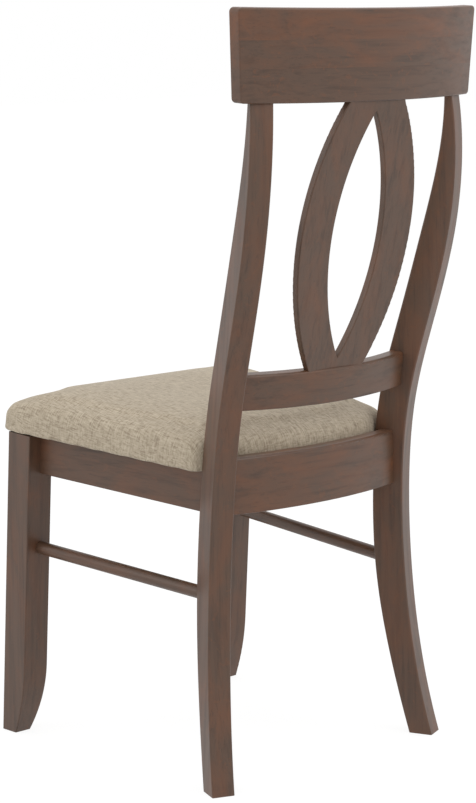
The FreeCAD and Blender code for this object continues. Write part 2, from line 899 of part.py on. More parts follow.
def seat_plan(inset, scale=1):
    """Ten corners and five arc middles of the seat's plan, drawn in and then scaled to a centre."""
    first, second, arc_end, rear = seat_corners(inset)
    half = [first[0], first[2], second[0], second[2], arc_end]
    corners = half + [Vector(-p.x, p.y, 0) for p in reversed(half)]
    bulges = {
        0: first[1],
        2: second[1],
        4: rear,
        6: Vector(-second[1].x, second[1].y, 0),
        8: Vector(-first[1].x, first[1].y, 0),
    }
    middle = rear.y / 2

    def place(point):
        return (point.x * scale, middle + (point.y - middle) * scale)

    return [place(p) for p in corners], {i: place(p) for i, p in bulges.items()}


# How far in from the seat's edge, as shares of the crown's reach, the crown's sections lie.
# The third is the last one that keeps the plan's straight sides; those above it are scaled.
CROWN_SHARES = (0.03, 0.08, 0.16, 0.3, 0.5, 0.72, 0.92)
STRAIGHT_SHARE = CROWN_SHARES[2]


def seat_levels(wall):
    """Heights and draw-ins of the seat's sections, a wall's thickness inside its surface."""
    crown = size("seat_crown") - wall
    side = size("seat_side_height")
    reach = size("seat_crown_reach")
    fullness = size("seat_crown_fullness")
    levels = [
        (wall, size("seat_side_draw")),
        (WIDEST, 0),
        (side, size("seat_shoulder_draw")),
    ]
    for share in CROWN_SHARES:
        rise = (1 - (1 - share) ** fullness) ** (1 / fullness)
        levels.append((side + (crown - side) * rise, reach * share))
    return [(height, inset + wall) for height, inset in levels]


def make_seat_form(name, wall):
    """A crowned form with drawn-in sides: a loft through the seat's plan at each level."""
    body = new_body(name, SEAT)
    sections = []
    straight_inset = size("seat_crown_reach") * STRAIGHT_SHARE + wall
    half_width = size("leg_spread") / 2
    for i, (height, inset) in enumerate(seat_levels(wall)):
        level = keep("%s_level_%d" % (name, i + 1), height)
        section = new_sketch(body, "%s_section_%d" % (name, i + 1), "XY_Plane", level)
        over = max(inset - straight_inset, 0)
        corners, bulges = seat_plan(inset - over, 1 - over / half_width)
        draw_outline(section, corners, bulges)
        sections.append(section)
    loft = body.newObject("PartDesign::AdditiveLoft", name + "_loft")
    loft.Profile = sections[0]
    loft.Sections = sections[1:]
    loft.Ruled = True
    doc.recompute([body])
    return body


def make_seat_slab(name, inset, bottom, height):
    """A flat sheet with the seat's plan, drawn in by an inset."""
    body = new_body(name, SEAT)
    plan = new_sketch(body, name + "_plan", "XY_Plane", bottom)
    corners, bulges = seat_plan(inset)
    draw_outline(plan, corners, bulges)
    pad(body, plan, height)
    return body


inside_cover = size("fabric_thickness") + size("soft_gap")
cover_outer = make_seat_form("cover_outer", 0)
cover_inner = make_seat_form("cover_inner", size("fabric_thickness"))
foam_blank = make_seat_form("foam_form", inside_cover)
cover_opening = make_seat_slab(
    "cover_opening", size("fabric_wrap"), "-Sizes.fabric_thickness", "Sizes.fabric_thickness * 3"
)
board_blank = make_seat_slab(
    "seat_board_blank",
    size("seat_side_draw") + inside_cover,
    "Sizes.fabric_thickness",
    "Sizes.board_thickness",
)
dust_cover_blank = make_seat_slab(
    "dust_cover_blank",
    size("fabric_wrap") + size("soft_gap"),
    "Sizes.fabric_thickness - Sizes.dust_cover_thickness",
    "Sizes.dust_cover_thickness",
)
below_foam = make_seat_slab(
    "below_foam",
    -size("seat_side_overhang"),
    "-Sizes.fabric_thickness",
    "Sizes.fabric_thickness * 2 + Sizes.board_thickness",
)


# Dowels
def joint_pins(name, places, slim=False):
    """One dowel for each place: its middle, its direction and the two pieces that it joins."""
    pins = []
    for i, (middle, direction, pieces) in enumerate(places):
        pins.append(dowel("%s_%d" % (name, i + 1), middle, direction, pieces, slim))
    group(name, pins)


top_drop = size("rail_dowel_drop")
next_drop = top_drop + size("rail_dowel_pitch")
stagger = size("rail_dowel_pitch") / 2
front_places = []
side_places = []
for side_name, side in SIDES:
    leg = "front_leg_" + side_name
    post = "rear_post_" + side_name
    rail = "side_rail_" + side_name
    middle_line = size("leg_depth") - size("seat_rail_thickness") / 2
    rail_middle = side_rail_point(side, size("seat_rail_thickness") / 2, 0)
    outer_line = side_rail_point(side, size("side_rail_dowel_edge"), 0)
    rail_direction = SEAT.Rotation.multVec(ALONG_RAIL[side])
    into_post = post_frame(side).Rotation.multVec(Vector(0, 1, 0))
    for drop in (top_drop, next_drop):
        place = SEAT.multVec(Vector(side * half_front_rail, middle_line, -drop - stagger))
        front_places.append((place, Vector(side, 0, 0), (leg, "front_rail")))
        place = SEAT.multVec(rail_middle + Vector(0, 0, -drop))
        side_places.append((place, rail_direction, (leg, rail)))
        start = SEAT.multVec(outer_line + Vector(0, 0, -drop))
        place = straight_hits(start, rail_direction, post_blank[side_name].Shape)[0]
        side_places.append((place, into_post, (post, rail)))
joint_pins("front_rail_dowels", front_places)
joint_pins("side_rail_dowels", side_places)

for name, piece, frame, prefix in (
    ("rear_rail_dowels", "rear_seat_rail", REAR_RAIL, "rear_rail"),
    ("back_rail_dowels", "lower_back_rail", BACK_RAIL, "back_rail"),
):
    places = []
    first_drop = size(prefix + "_dowel_drop")
    for side_name, side in SIDES:
        into_post = post_frame(side).Rotation.multVec(Vector(1, 0, 0))
        for drop in (first_drop, first_drop + size("rail_dowel_pitch")):
            place = rail_in_post(frame, prefix, drop, side_name, side)[0]
            places.append((place, into_post, ("rear_post_" + side_name, piece)))
    joint_pins(name, places)

crest_places = []
for side_name, side in SIDES:
    frame = post_frame(side)
    up = frame.Rotation.multVec(Vector(0, 0, 1))
    head_middle = size("head_setback") - size("head_depth") / 2
    for across in (-1, 1):
        start = Vector(across * size("crest_dowel_pitch") / 2, head_middle, size("neck_height"))
        place = straight_hits(frame.multVec(start), up, crest_blank.Shape)[0]
        crest_places.append((place, up, ("rear_post_" + side_name, "crest_rail")))
joint_pins("crest_dowels", crest_places, slim=True)

bow_up = BOWS.Rotation.multVec(Vector(0, 0, 1))
splat_places = []
for side_name, side in SIDES:
    start = BOWS.multVec(
        Vector(
            side * size("bow_dowel_reach"), -size("bow_thickness") / 2, size("bow_end_allowance")
        )
    )
    bow = "splat_bow_" + side_name
    for direction, piece, solid in (
        (bow_up, "crest_rail", crest_blank.Shape),
        (bow_up * -1, "lower_back_rail", back_rail_blank.Shape),
    ):
        place = straight_hits(start, direction, solid)[0]
        splat_places.append((place, direction, (bow, piece)))
joint_pins("splat_dowels", splat_places, slim=True)


# Screws
seat_up = SEAT.Rotation.multVec(Vector(0, 0, 1))
seat_screws = []
block_screws = []
for name, block in blocks.items():
    corner = block["corner"]
    along_side = block["along_side"]
    along_cross = block["along_cross"]
    # a screw up into the seat, at the middle of the block's three corners
    inwards = (along_side + along_cross) * (size("block_leg") / 3)
    head = Vector(corner.x + inwards.x, corner.y + inwards.y, 0)
    head.z = -size("block_drop") - size("block_height")
    pieces = (name, "seat_board", "seat_cover", "dust_cover")
    seat_screws.append(
        screw(name + "_seat_screw", SEAT.multVec(head), seat_up, "seat_screw_length", pieces, 0)
    )
    side_rail = "side_rail_left" if block["side"] > 0 else "side_rail_right"
    side_shape = side_rail_blank["left" if block["side"] > 0 else "right"].Shape
    for end, run, square_to, rail, shape in (
        ("side", along_side, along_cross, side_rail, side_shape),
        ("cross", along_cross, along_side, block["rail"], block["rail_shape"]),
    ):
        outwards = run.cross(square_to).cross(run).normalize() * -1
        offset = size("block_screw_offset")
        start = corner + run * offset - outwards * offset
        face = seat_hits(start, outwards, shape)[0]
        behind = size("block_screw_length") - size("block_screw_bite")
        sink = max(size("block_leg") - offset - behind, 0) + size("screw_head_diameter")
        place = SEAT.multVec(face - outwards * behind)
        direction = SEAT.Rotation.multVec(outwards)
        screw_name = "%s_%s_screw" % (name, end)
        block_screws.append(
            screw(screw_name, place, direction, "block_screw_length", (name, rail), sink)
        )
group("seat_screws", seat_screws)
group("block_screws", block_screws)


# Finished pieces
def mirrored(name, source):
    """The same piece for the chair's other side."""
    result = doc.addObject("Part::Mirroring", name)
    result.Source = source
    result.Normal = Vector(1, 0, 0)
    return result


cut("crest_rail", crest_blank, holes["crest_rail"])
for side_name, side in SIDES:
    leg = "front_leg_" + side_name
    post = "rear_post_" + side_name
    rail = "side_rail_" + side_name
    bow = "splat_bow_" + side_name
    cut(leg, leg_blank[side_name], holes[leg])
    if side > 0:
        cut(post, post_blank[side_name], [floor_trim, crest_blank] + holes[post])
    else:
        mirrored(post, doc.getObject("rear_post_left"))
    # the rail's end stops at the post's inner face instead of wrapping round it
    beside_post = box_at(
        "beside_post_" + side_name,
        Vector(0, 0, 0),
        (size("post_width"), size("post_width"), size("seat_frame_height")),
    )
    inner_edge = -size("post_width") / 2 if side > 0 else size("post_width") / 2
    inner_edge -= size("post_width") if side > 0 else 0
    front_edge = size("hip_setback") - size("hip_depth")
    beside_post.Placement = post_frame(side).multiply(
        Placement(Vector(inner_edge, front_edge, size("seat_rail_height")), Rotation())
    )
    cut(rail, side_rail_blank[side_name], [post_blank[side_name], beside_post] + holes[rail])
    cut(bow, bow_blank[side_name], [crest_blank, back_rail_blank] + holes[bow])
posts = [post_blank["left"], post_blank["right"]]
cut("lower_back_rail", back_rail_blank, posts + holes["lower_back_rail"])
cut("rear_seat_rail", rear_rail_blank, posts + holes["rear_seat_rail"])
cut("front_rail", front_rail_blank, holes["front_rail"])
for name, block in blocks.items():
    side_name = "left" if block["side"] > 0 else "right"
    fitted_to = [side_rail_blank[side_name], rear_rail_blank, post_blank[side_name]]
    cut(name, block["blank"], (fitted_to if block["spare"] else []) + holes[name])
cut("seat_board", board_blank, holes["seat_board"])
cut("seat_foam", foam_blank, [below_foam])
cut("seat_cover", cover_outer, [cover_inner, cover_opening] + holes["seat_cover"])
cut("dust_cover", dust_cover_blank, holes["dust_cover"])
doc.recompute()


# Check and write
PIECES = ["crest_rail", "lower_back_rail", "rear_seat_rail", "front_rail"]
for side_name, side in SIDES:
    for piece in ("front_leg", "rear_post", "splat_bow", "side_rail", "stretcher"):
        PIECES.append(piece + "_" + side_name)
PIECES += list(blocks)
PIECES += ["seat_board", "seat_foam", "seat_cover", "dust_cover"]
PIECES += ["front_rail_dowels", "side_rail_dowels", "rear_rail_dowels", "back_rail_dowels"]
PIECES += ["crest_dowels", "splat_dowels", "seat_screws", "block_screws"]

for item in doc.Objects:
    if "Invalid" in item.State or "Error" in item.State:
        raise ValueError("%s could not be made: %s" % (item.Name, item.State))
for piece in PIECES:
    shape = doc.getObject(piece).Shape
    if shape.isNull() or not shape.isValid() or not shape.Solids:
        raise ValueError("%s has no sound solid" % piece)
os.makedirs("parts", exist_ok=True)
for piece in PIECES:
    doc.getObject(piece).Label = piece
    doc.getObject(piece).Shape.exportStep("parts/%s.step" % piece)
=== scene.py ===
import math

import bpy
from mathutils import Euler, Matrix, Vector


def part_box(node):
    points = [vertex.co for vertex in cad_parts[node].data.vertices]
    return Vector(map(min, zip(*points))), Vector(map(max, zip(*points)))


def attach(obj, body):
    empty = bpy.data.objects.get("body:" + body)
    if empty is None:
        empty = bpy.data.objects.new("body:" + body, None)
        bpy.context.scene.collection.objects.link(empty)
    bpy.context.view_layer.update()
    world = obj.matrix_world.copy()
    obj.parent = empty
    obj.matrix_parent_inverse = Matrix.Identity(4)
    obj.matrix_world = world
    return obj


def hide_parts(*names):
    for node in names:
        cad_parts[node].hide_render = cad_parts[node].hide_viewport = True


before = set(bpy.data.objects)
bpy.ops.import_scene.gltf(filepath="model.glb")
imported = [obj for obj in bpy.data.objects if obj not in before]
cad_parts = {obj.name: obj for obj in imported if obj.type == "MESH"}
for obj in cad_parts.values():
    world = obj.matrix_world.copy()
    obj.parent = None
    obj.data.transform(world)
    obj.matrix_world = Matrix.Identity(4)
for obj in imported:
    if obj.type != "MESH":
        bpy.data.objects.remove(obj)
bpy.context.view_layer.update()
bpy.ops.object.select_all(action="DESELECT")

# The seat slopes down to the back
SEAT_SLOPE = math.radians(3.0)

# The camera that was fitted to the photograph, in metres and pixels
PICTURE_HEIGHT = 803
FOCAL_PIXELS = 2535.8
FILM_WIDTH = 36.0
CAMERA_PLACE = Vector((2.4068, 2.4595, 1.0399))
CAMERA_TURN = math.radians(44.31)
CAMERA_PITCH = math.radians(9.31)


def srgb(red, green, blue):
    """A linear colour from the 0 to 255 values that a colour picker shows."""

    def linear(value):
        value /= 255
        return value / 12.92 if value <= 0.04045 else ((value + 0.055) / 1.055) ** 2.4

    return (linear(red), linear(green), linear(blue), 1.0)


# Node helpers
def plug(tree, socket, value):
    """Link another node's output to an input socket, or set a plain value on it."""
    if isinstance(value, bpy.types.NodeSocket):
        tree.links.new(value, socket)
    else:
        socket.default_value = value


def new_material(name):
    material = bpy.data.materials.new(name)
    material.use_nodes = True
    tree = material.node_tree
    shader = next(node for node in tree.nodes if node.type == "BSDF_PRINCIPLED")
    return material, tree, shader


def add(tree, kind, inputs=None, **settings):
    """A node with its settings; inputs are values, or sockets to link from."""
    node = tree.nodes.new(kind)
    for name, value in settings.items():
        setattr(node, name, value)
    for name, value in (inputs or {}).items():
        plug(tree, node.inputs[name], value)
    return node


def ramp(tree, fac, stops):
    """A colour ramp: stops are (place, colour or grey level)."""
    node = tree.nodes.new("ShaderNodeValToRGB")
    tree.links.new(fac, node.inputs["Fac"])
    band = node.color_ramp
    while len(band.elements) < len(stops):
        band.elements.new(0.5)
    for element, (place, colour) in zip(band.elements, stops):
        element.position = place
        element.color = colour if isinstance(colour, tuple) else (colour, colour, colour, 1)
    return node.outputs["Color"]


def mix_colour(tree, fac, first, second, blend="MIX"):
    node = tree.nodes.new("ShaderNodeMix")
    node.data_type = "RGBA"
    node.blend_type = blend
    for index, value in ((0, fac), (6, first), (7, second)):
        plug(tree, node.inputs[index], value)
    return node.outputs[2]


def maths(tree, operation, first, second=0.5):
    node = tree.nodes.new("ShaderNodeMath")
    node.operation = operation
    plug(tree, node.inputs[0], first)
    plug(tree, node.inputs[1], second)
    return node.outputs[0]


def noise(tree, vector, scale, detail=4.0, roughness=0.55, distortion=0.0):
    node = add(
        tree,
        "ShaderNodeTexNoise",
        {
            "Vector": vector,
            "Scale": scale,
            "Detail": detail,
            "Roughness": roughness,
            "Distortion": distortion,
        },
    )
    return node.outputs["Fac"]


def placed(tree, vector, location=(0, 0, 0), rotation=(0, 0, 0), scale=(1, 1, 1)):
    node = add(tree, "ShaderNodeMapping", {"Vector": vector})
    node.inputs["Location"].default_value = location
    node.inputs["Rotation"].default_value = rotation
    node.inputs["Scale"].default_value = scale
    return node.outputs["Vector"]


# Wood
WOOD_DARK = srgb(69, 50, 37)
WOOD_GREY = srgb(88, 64, 48)
WOOD_WARM = srgb(117, 70, 40)
WOOD_PORE = srgb(52, 37, 27)
GRAIN_STRETCH = 0.035
PATCH_STRETCH = 0.35
FIGURE_STRETCH = 0.75

# Scales of the wood's patterns, per metre
STREAKS = 130
PORES = 420
CLOUDS = 26
FIGURES = 60


def stained_wood(name, along, seed, warmth=0.5, strips=None):
    """Brown-stained hardwood under satin lacquer. along is the grain's direction.
    strips are heights, in metres, where boards of another tone are glued edge to edge."""
    material, tree, shader = new_material(name)
    place = add(tree, "ShaderNodeTexCoord").outputs["Object"]
    turn = Vector(along).rotation_difference(Vector((0, 0, 1))).to_euler()
    turned = placed(tree, place, rotation=turn)
    shifted = placed(tree, turned, location=(seed * 0.37, seed * 0.61, seed * 0.23))
    tone = None
    if strips:
        height = add(tree, "ShaderNodeSeparateXYZ", {"Vector": place}).outputs["Z"]
        steps = [maths(tree, "GREATER_THAN", height, level) for level in strips]
        tone = maths(tree, "ADD", steps[0], steps[1])
        jump = add(tree, "ShaderNodeCombineXYZ", {"X": tone, "Y": tone}).outputs["Vector"]
        shifted = add(
            tree, "ShaderNodeVectorMath", {0: shifted, 1: jump}, operation="ADD"
        ).outputs["Vector"]
    fibres = placed(tree, shifted, scale=(1, 1, GRAIN_STRETCH))
    patches = placed(tree, shifted, scale=(1, 1, PATCH_STRETCH))
    curls = placed(tree, shifted, scale=(1, 1, FIGURE_STRETCH))

    streak = noise(tree, fibres, STREAKS, detail=6, roughness=0.6, distortion=0.3)
    fine = noise(tree, fibres, PORES, detail=3, roughness=0.6)
    cloud = noise(tree, patches, CLOUDS, detail=4, roughness=0.6, distortion=0.8)
    figure = noise(tree, curls, FIGURES, detail=2, distortion=2.2)

    base = ramp(tree, streak, [(0.3, WOOD_DARK), (0.52, WOOD_GREY), (0.75, WOOD_GREY)])
    warm_fac = ramp(tree, cloud, [(0.5 - 0.12 * warmth, 0.0), (0.72, 1.0)])
    warm_fac = maths(tree, "MULTIPLY", warm_fac, 0.55 * warmth + 0.15)
    if tone is not None:
        upper = maths(tree, "MULTIPLY", tone, 0.5)
        warm_fac = maths(tree, "MULTIPLY", warm_fac, maths(tree, "ADD", upper, 0.35))
    colour = mix_colour(tree, warm_fac, base, WOOD_WARM)
    figure_fac = maths(tree, "MULTIPLY", ramp(tree, figure, [(0.6, 0.0), (0.68, 1.0)]), 0.4)
    figure_fac = maths(tree, "MULTIPLY", figure_fac, warmth)
    colour = mix_colour(tree, figure_fac, colour, WOOD_WARM)
    pore_fac = maths(tree, "MULTIPLY", ramp(tree, fine, [(0.3, 1.0), (0.42, 0.0)]), 0.35)
    colour = mix_colour(tree, pore_fac, colour, WOOD_PORE)
    tree.links.new(colour, shader.inputs["Base Color"])

    satin = ramp(tree, streak, [(0.25, 0.5), (0.8, 0.38)])
    tree.links.new(satin, shader.inputs["Roughness"])
    shader.inputs["Specular IOR Level"].default_value = 0.45
    shader.inputs["Coat Weight"].default_value = 0.18
    shader.inputs["Coat Roughness"].default_value = 0.32
    relief = maths(tree, "ADD", maths(tree, "MULTIPLY", fine, 0.4), streak)
    bump = add(tree, "ShaderNodeBump", {"Height": relief, "Strength": 0.12, "Distance": 0.0006})
    tree.links.new(bump.outputs["Normal"], shader.inputs["Normal"])
    return material


def plain_wood(name, colour, dark, along, scale=60):
    """Unfinished wood inside the seat: blocks, board and dowels."""
    material, tree, shader = new_material(name)
    place = add(tree, "ShaderNodeTexCoord").outputs["Object"]
    turn = Vector(along).rotation_difference(Vector((0, 0, 1))).to_euler()
    turned = placed(tree, place, rotation=turn)
    fibres = placed(tree, turned, scale=(1, 1, GRAIN_STRETCH))
    rings = noise(tree, fibres, scale, detail=5, distortion=0.5)
    tree.links.new(ramp(tree, rings, [(0.35, dark), (0.65, colour)]), shader.inputs["Base Color"])
    tree.links.new(ramp(tree, rings, [(0.3, 0.75), (0.7, 0.6)]), shader.inputs["Roughness"])
    bump = add(tree, "ShaderNodeBump", {"Height": rings, "Strength": 0.3, "Distance": 0.0008})
    tree.links.new(bump.outputs["Normal"], shader.inputs["Normal"])
    return material


def zinc_steel():
    material, tree, shader = new_material("zinc_plated_steel")
    place = add(tree, "ShaderNodeTexCoord").outputs["Object"]
    cloud = noise(tree, place, 900, detail=3)
    tree.links.new(
        ramp(tree, cloud, [(0.3, srgb(150, 148, 140)), (0.7, srgb(190, 190, 186))]),
        shader.inputs["Base Color"],
    )
    tree.links.new(ramp(tree, cloud, [(0.3, 0.42), (0.7, 0.28)]), shader.inputs["Roughness"])
    shader.inputs["Metallic"].default_value = 1.0
    return material


def foam_material():
    material, tree, shader = new_material("seat_foam_cells")
    place = add(tree, "ShaderNodeTexCoord").outputs["Object"]
    cells = add(tree, "ShaderNodeTexVoronoi", {"Vector": place, "Scale": 900.0})
    tones = [(0.0, srgb(205, 190, 130)), (0.6, srgb(232, 222, 175))]
    tree.links.new(ramp(tree, cells.outputs["Distance"], tones), shader.inputs["Base Color"])
    shader.inputs["Roughness"].default_value = 0.9
    return material


def dust_cloth():
    material, tree, shader = new_material("black_dust_cloth")
    place = add(tree, "ShaderNodeTexCoord").outputs["Object"]
    speckle = noise(tree, place, 700, detail=3, roughness=0.7)
    tree.links.new(
        ramp(tree, speckle, [(0.3, srgb(20, 20, 21)), (0.7, srgb(44, 44, 46))]),
        shader.inputs["Base Color"],
    )
    shader.inputs["Roughness"].default_value = 0.95
    bump = add(tree, "ShaderNodeBump", {"Height": speckle, "Strength": 0.5, "Distance": 0.0005})
    tree.links.new(bump.outputs["Normal"], shader.inputs["Normal"])
    return material


# Linen, with the scales of its threads per metre
LINEN_BASE = srgb(186, 172, 150)
LINEN_LIGHT = srgb(208, 196, 174)
LINEN_DARK = srgb(138, 122, 102)
THREADS_PER_METRE = 620
WARP = 620
WEFT = 560
SLUBS = 300
CROSS_SLUBS = 260
WEAR = 14
WEAVE = "Weave"


def linen():
    """Slubbed beige linen: two sets of threads on the piece's own weave map, in metres."""
    material, tree, shader = new_material("beige_slubbed_linen")
    flat = add(tree, "ShaderNodeUVMap", uv_map=WEAVE).outputs["UV"]
    lengthways = placed(tree, flat, scale=(1.0, 0.1, 1))
    crossways = placed(tree, flat, scale=(0.14, 1.0, 1))
    long_lumps = placed(tree, flat, location=(3.1, 1.7, 0), scale=(1.0, 0.22, 1))
    cross_lumps = placed(tree, flat, location=(5.3, 4.1, 0), scale=(0.3, 1.0, 1))
    warp = noise(tree, lengthways, WARP, detail=3, roughness=0.7)
    weft = noise(tree, crossways, WEFT, detail=3, roughness=0.7)
    slubs = noise(tree, long_lumps, SLUBS, detail=2)
    cross_slubs = noise(tree, cross_lumps, CROSS_SLUBS, detail=2)
    wear = noise(tree, flat, WEAR, detail=4)

    turns = math.pi * THREADS_PER_METRE
    parts = add(tree, "ShaderNodeSeparateXYZ", {"Vector": flat})
    ribs_x = maths(tree, "SINE", maths(tree, "MULTIPLY", parts.outputs["X"], turns))
    ribs_y = maths(tree, "SINE", maths(tree, "MULTIPLY", parts.outputs["Y"], turns))
    basket = maths(tree, "MULTIPLY", ribs_x, ribs_y)

    warp_share = maths(tree, "MULTIPLY", warp, 0.55)
    weft_share = maths(tree, "MULTIPLY", weft, 0.45)
    tone = maths(tree, "ADD", warp_share, weft_share)
    colour = ramp(tree, tone, [(0.36, LINEN_DARK), (0.5, LINEN_BASE), (0.64, LINEN_LIGHT)])
    dark = maths(tree, "MULTIPLY", ramp(tree, slubs, [(0.33, 1.0), (0.42, 0.0)]), 0.5)
    colour = mix_colour(tree, dark, colour, LINEN_DARK)
    light = maths(tree, "MULTIPLY", ramp(tree, cross_slubs, [(0.6, 0.0), (0.7, 1.0)]), 0.45)
    colour = mix_colour(tree, light, colour, LINEN_LIGHT)
    shade = maths(tree, "MULTIPLY", ramp(tree, wear, [(0.35, 1.0), (0.6, 0.0)]), 0.12)
    colour = mix_colour(tree, shade, colour, LINEN_DARK)
    tree.links.new(colour, shader.inputs["Base Color"])
    shader.inputs["Roughness"].default_value = 0.9
    shader.inputs["Sheen Weight"].default_value = 0.15
    shader.inputs["Sheen Roughness"].default_value = 0.5
    relief = maths(tree, "ADD", tone, maths(tree, "MULTIPLY", basket, 0.12))
    bump = add(tree, "ShaderNodeBump", {"Height": relief, "Strength": 0.55, "Distance": 0.0011})
    tree.links.new(bump.outputs["Normal"], shader.inputs["Normal"])
    return material


# Carried-over pieces
def finish(node, material):
    """Give a CAD node one material in every slot."""
    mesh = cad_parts[node].data
    if not mesh.materials:
        mesh.materials.append(material)
    for index in range(len(mesh.materials)):
        mesh.materials[index] = material


UP = (0, 0, 1)
ACROSS = (1, 0, 0)
BACKWARDS = (0, 1, 0)
CREST_STRIPS = (0.365, 0.66)


def crest_seams():
    """Heights of the two glue lines between the crest's three strips."""
    low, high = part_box("crest_rail")
    return [low[2] + (high[2] - low[2]) * share for share in CREST_STRIPS]


def finish_frame():
    """Stained wood for the frame, each piece with its own grain."""
    finish("crest_rail", stained_wood("crest_wood", ACROSS, 1, 0.9, crest_seams()))
    finish("lower_back_rail", stained_wood("lower_rail_wood", ACROSS, 2, 0.7))
    finish("rear_seat_rail", stained_wood("rear_rail_wood", ACROSS, 3, 0.8))
    finish("front_rail", stained_wood("front_rail_wood", ACROSS, 4, 0.6))
    for seed, side in ((10, "left"), (20, "right")):
        finish("rear_post_" + side, stained_wood("post_wood_" + side, UP, seed, 0.7))
        finish("front_leg_" + side, stained_wood("leg_wood_" + side, UP, seed + 1, 0.5))
        finish("splat_bow_" + side, stained_wood("bow_wood_" + side, UP, seed + 2, 0.5))
        finish("side_rail_" + side, stained_wood("side_rail_wood_" + side, BACKWARDS, seed + 3))
        finish("stretcher_" + side, stained_wood("stretcher_wood_" + side, BACKWARDS, seed + 4))


def finish_inside():
    """What is only seen from below, or not at all."""
    block = plain_wood("block_softwood", srgb(205, 172, 122), srgb(170, 132, 86), BACKWARDS)
    board = plain_wood("seat_plywood", srgb(196, 160, 112), srgb(160, 122, 80), ACROSS)
    pin = plain_wood("beech_dowel", srgb(214, 178, 132), srgb(188, 148, 104), BACKWARDS, 140)
    steel = zinc_steel()
    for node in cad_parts:
        if node.startswith("corner_block"):
            finish(node, block)
        elif node.endswith("_dowels"):
            finish(node, pin)
        elif node.endswith("_screws"):
            finish(node, steel)
    finish("seat_board", board)
    finish("seat_foam", foam_material())
    finish("dust_cover", dust_cloth())


# Cushion, in metres
MERGE_DISTANCE = 0.00002
VOXEL = 0.005
# The fabric's surface stands this far out from the foam
COVER_STANDOFF = 0.0032
# The underside lies this far above the cover's, on the rails
UNDERSIDE_GAP = 0.0004
# Points within this height of the foam's underside belong to it
FLAT = 0.003
PRESSURE = 4.0
MOST_SWELL = 0.0035
SIM_FRAMES = 20
# The weave lies flat down to this depth below the crown, and then runs down the sides
SHOULDER = 0.034
# The front corners: the foam's bend, how square it gets, and the laps over the legs
CORNER_RADIUS = 0.031
CORNER_SQUARENESS = 10
FRONT_LAP = 0.0055
SIDE_LAP = 0.002
LAP_REACH = 0.14
MIDDLE_BLEND = 0.05


def seat_frame():
    """The seat's own axes: tilted by the slope."""
    return Matrix.Rotation(-SEAT_SLOPE, 4, "X")


def copy_of(node, name):
    """A merged copy of a CAD node's mesh, to be shaped further."""
    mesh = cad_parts[node].data.copy()
    piece = bpy.data.objects.new(name, mesh)
    bpy.context.scene.collection.objects.link(piece)
    bpy.ops.object.select_all(action="DESELECT")
    piece.select_set(True)
    bpy.context.view_layer.objects.active = piece
    bpy.ops.object.mode_set(mode="EDIT")
    bpy.ops.mesh.select_all(action="SELECT")
    bpy.ops.mesh.remove_doubles(threshold=MERGE_DISTANCE)
    bpy.ops.object.mode_set(mode="OBJECT")
    return piece


def apply(piece, modifier):
    bpy.ops.object.select_all(action="DESELECT")
    piece.select_set(True)
    bpy.context.view_layer.objects.active = piece
    bpy.ops.object.modifier_apply(modifier=modifier.name)


def make_cushion():
    """The padded seat: the foam's form filled down to the rails, swollen and covered in linen."""
    cushion = copy_of("seat_foam", "seat_cushion")
    mesh = cushion.data
    to_seat = seat_frame().inverted()
    mesh.transform(to_seat)
    cover_low = min((to_seat @ v.co).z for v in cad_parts["seat_cover"].data.vertices)
    foam_low = min(vertex.co.z for vertex in mesh.vertices)
    for vertex in mesh.vertices:
        if vertex.co.z < foam_low + FLAT:
            vertex.co.z = cover_low + UNDERSIDE_GAP
    remesh = cushion.modifiers.new("even_mesh", "REMESH")
    remesh.mode = "VOXEL"
    remesh.voxel_size = VOXEL
    apply(cushion, remesh)
    stand_off(cushion)
    square_corners(cushion)
    swell(cushion, cover_low)
    soften(cushion, cover_low)
    lay_weave(cushion)
    mesh.transform(seat_frame())
    mesh.shade_smooth()
    mesh.materials.clear()
    mesh.materials.append(linen())
    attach(cushion, "root")
    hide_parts("seat_cover", "seat_foam")
    return cushion


def stand_off(cushion):
    """Move the even mesh out to the fabric's surface, except down through the underside."""
    for vertex in cushion.data.vertices:
        outwards = vertex.normal.copy()
        outwards.z = max(outwards.z, 0)
        vertex.co += outwards * COVER_STANDOFF


def square_corners(cushion):
    """Pull the front corners out over the legs, to a tighter bend than the foam's."""
    mesh = cushion.data
    side = max(vertex.co.x for vertex in mesh.vertices) - CORNER_RADIUS
    front = min(vertex.co.y for vertex in mesh.vertices)
    for vertex in mesh.vertices:
        x, y, z = vertex.co
        outwards = abs(x) - side
        ahead = front + CORNER_RADIUS - y
        grow = 1.0
        if outwards > 0 and ahead > 0:
            turn = math.atan2(ahead, outwards)
            power = CORNER_SQUARENESS
            grow = (math.cos(turn) ** power + math.sin(turn) ** power) ** (-1 / power)
        share = min(max(1 - (y - front) / LAP_REACH, 0), 1)
        share *= share * (3 - 2 * share)
        outwards = outwards * grow + SIDE_LAP * share
        ahead = ahead * grow + FRONT_LAP * share
        edge = min(abs(x) / MIDDLE_BLEND, 1)
        new_x = math.copysign(side + outwards, x) * edge + x * (1 - edge)
        vertex.co = (new_x, front + CORNER_RADIUS - ahead, z)


